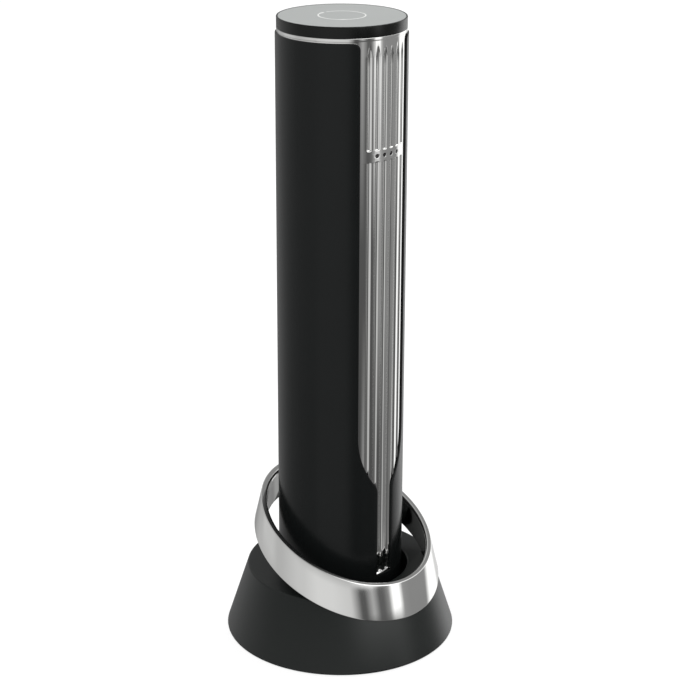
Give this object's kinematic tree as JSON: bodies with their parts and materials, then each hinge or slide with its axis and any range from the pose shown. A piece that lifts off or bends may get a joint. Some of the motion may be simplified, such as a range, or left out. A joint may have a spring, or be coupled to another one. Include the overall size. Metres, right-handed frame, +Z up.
{
  "type": "electric wine opener",
  "caption": "Cordless electric wine opener: slim black cylinder with a fluted chrome strip, standing in a cone-shaped stand with a slanted chrome ring.",
  "frame": {"origin": "centre of the stand's underside, on the table", "axes": "+Z up along the opener's axis, -Y towards the fluted front, +X to the right of someone who faces the front"},
  "size_m": [0.0892, 0.0892, 0.2414],
  "materials": {
    "base_black": "satin moulded ABS",
    "ring_chrome": "polished",
    "shell_black": "satin black lacquer on steel",
    "tube_chrome": "polished chrome plating",
    "cap_black": "satin moulded",
    "touch_grey": "glossy",
    "collar_black": "moulded",
    "sleeve_grey": "moulded",
    "smoked_lens": "smoked polycarbonate",
    "soft_pad": "soft",
    "foot_rubber": "soft",
    "ballast_steel": "zinc plated",
    "screw_steel": "zinc plated",
    "worm_steel": "hard chrome plated",
    "gear_steel": "sintered",
    "gear_plastic": "acetal",
    "cover_zinc": "die cast",
    "bush_bronze": "sintered bronze",
    "pinion_brass": "machined",
    "motor_steel": "nickel plated",
    "magnet": "ferrite",
    "motor_plastic": "moulded",
    "winding_copper": "enamelled wire",
    "lead_insulation": "PVC",
    "frame_plastic": "moulded",
    "cell_wrap": "shrink sleeve",
    "nickel": "rolled",
    "circuit_board": "solder mask",
    "led": "moulded",
    "socket_steel": "tin plated"
  },
  "bodies": {
    "stand": {"stand_base": "base_black", "stand_ring": "ring_chrome", "socket_pad": "soft_pad", "ballast_plate": "ballast_steel", "base_cover": "base_black", "foot_ring": "foot_rubber", "cover_screws": "screw_steel", "ring_screws": "screw_steel"},
    "opener": {"outer_shell": "shell_black", "fluted_tube": "tube_chrome", "trim_ring": "tube_chrome", "cap_ring": "cap_black", "touch_plate": "touch_grey", "touch_board": "circuit_board", "light_guide": "smoked_lens", "neck_collar": "collar_black", "collar_screws": "screw_steel", "cork_sleeve": "sleeve_grey", "sleeve_screws": "screw_steel", "output_cover": "cover_zinc", "output_bush": "bush_bronze", "thrust_washer": "gear_steel", "ring_gear": "gear_plastic", "gearbox_screws": "screw_steel", "motor_plate": "cover_zinc", "motor_screws": "screw_steel", "motor_can": "motor_steel", "motor_magnets": "magnet", "motor_end_cap": "motor_plastic", "motor_brushes": "bush_bronze", "motor_bushes": "bush_bronze", "motor_leads": "lead_insulation", "chassis_left": "frame_plastic", "chassis_right": "frame_plastic", "chassis_screws": "screw_steel", "battery_cell": "cell_wrap", "battery_tabs": "nickel", "control_board": "circuit_board", "indicator_leds": "led", "charge_board": "circuit_board", "usb_socket": "socket_steel"},
    "worm": {"worm_screw": "worm_steel", "worm_chuck": "collar_black", "chuck_pin": "gear_steel", "output_carrier": "gear_steel", "output_pins": "gear_steel"},
    "first_stage": {"input_carrier": "gear_steel", "input_pins": "gear_steel"},
    "rotor": {"motor_shaft": "gear_steel", "motor_pinion": "pinion_brass", "rotor_core": "motor_steel", "rotor_windings": "winding_copper", "commutator": "winding_copper"},
    "output_planet_1": {"output_planet_1": "gear_steel"},
    "output_planet_2": {"output_planet_2": "gear_steel"},
    "output_planet_3": {"output_planet_3": "gear_steel"},
    "input_planet_1": {"input_planet_1": "gear_plastic"},
    "input_planet_2": {"input_planet_2": "gear_plastic"},
    "input_planet_3": {"input_planet_3": "gear_plastic"}
  },
  "joints": [
    {"name": "opener_lift", "type": "slide", "parent": "stand", "child": "opener", "axis": [0, 0, 1], "range_m": [0, 0.1]},
    {"name": "worm_spin", "type": "hinge", "parent": "opener", "child": "worm", "pos_m": [0, 0, 0.11], "axis": [0, 0, 1], "continuous": true},
    {"name": "first_stage_spin", "type": "hinge", "parent": "opener", "child": "first_stage", "pos_m": [0, 0, 0.123], "axis": [0, 0, 1], "continuous": true},
    {"name": "rotor_spin", "type": "hinge", "parent": "opener", "child": "rotor", "pos_m": [0, 0, 0.15], "axis": [0, 0, 1], "continuous": true},
    {"name": "output_planet_1_spin", "type": "hinge", "parent": "worm", "child": "output_planet_1", "pos_m": [0.00945, 0, 0.1187], "axis": [0, 0, 1], "continuous": true},
    {"name": "output_planet_2_spin", "type": "hinge", "parent": "worm", "child": "output_planet_2", "pos_m": [-0.00473, 0.00818, 0.1187], "axis": [0, 0, 1], "continuous": true},
    {"name": "output_planet_3_spin", "type": "hinge", "parent": "worm", "child": "output_planet_3", "pos_m": [-0.00473, -0.00818, 0.1187], "axis": [0, 0, 1], "continuous": true},
    {"name": "input_planet_1_spin", "type": "hinge", "parent": "first_stage", "child": "input_planet_1", "pos_m": [0.00945, 0, 0.128], "axis": [0, 0, 1], "continuous": true},
    {"name": "input_planet_2_spin", "type": "hinge", "parent": "first_stage", "child": "input_planet_2", "pos_m": [-0.00473, 0.00818, 0.128], "axis": [0, 0, 1], "continuous": true},
    {"name": "input_planet_3_spin", "type": "hinge", "parent": "first_stage", "child": "input_planet_3", "pos_m": [-0.00473, -0.00818, 0.128], "axis": [0, 0, 1], "continuous": true}
  ],
  "couplings": [
    {"joint": "first_stage_spin", "follows": "worm_spin", "ratio": 6},
    {"joint": "rotor_spin", "follows": "worm_spin", "ratio": 36},
    {"joint": "output_planet_1_spin", "follows": "worm_spin", "ratio": -2.5},
    {"joint": "output_planet_2_spin", "follows": "worm_spin", "ratio": -2.5},
    {"joint": "output_planet_3_spin", "follows": "worm_spin", "ratio": -2.5},
    {"joint": "input_planet_1_spin", "follows": "worm_spin", "ratio": -15},
    {"joint": "input_planet_2_spin", "follows": "worm_spin", "ratio": -15},
    {"joint": "input_planet_3_spin", "follows": "worm_spin", "ratio": -15}
  ]
}
